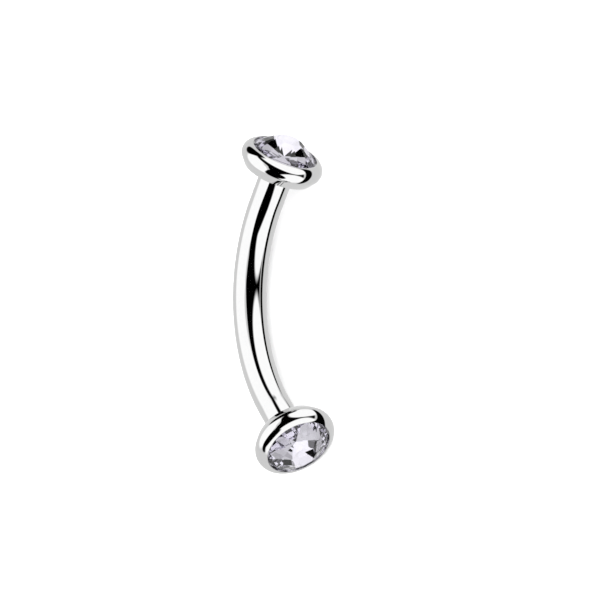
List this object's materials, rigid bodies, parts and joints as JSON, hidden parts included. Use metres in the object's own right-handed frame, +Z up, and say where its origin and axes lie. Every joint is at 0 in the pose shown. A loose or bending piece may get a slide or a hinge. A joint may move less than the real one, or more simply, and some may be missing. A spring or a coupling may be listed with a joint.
{
  "type": "curved eyebrow barbell",
  "caption": "Short curved bar, polished, with a round disc screwed into each end and a faceted clear crystal set in each disc; worn through an eyebrow piercing.",
  "frame": {"origin": "on the floor, under the middle of the barbell's box, as it rests by itself on its belly and on the rims of both ends", "axes": "+X along the chord of the bar from the lower end to the upper end, +Y towards the outside of the bend, +Z up"},
  "size_m": [0.0122, 0.004, 0.0029],
  "materials": {
    "titanium": "mirror-polished titanium",
    "crystal": "cut and polished crystal glass with a foiled pavilion"
  },
  "bodies": {
    "bar": {"bar": "titanium"},
    "upper_end": {"upper_bezel": "titanium", "upper_crystal": "crystal"},
    "lower_end": {"lower_bezel": "titanium", "lower_crystal": "crystal"}
  },
  "joints": [
    {"name": "upper_end_unscrew", "type": "slide", "parent": "bar", "child": "upper_end", "axis": [0.788, -0.57, 0.2326], "range_m": [0, 0.0023]},
    {"name": "lower_end_unscrew", "type": "slide", "parent": "bar", "child": "lower_end", "axis": [-0.788, -0.57, 0.2326], "range_m": [0, 0.0023]}
  ]
}
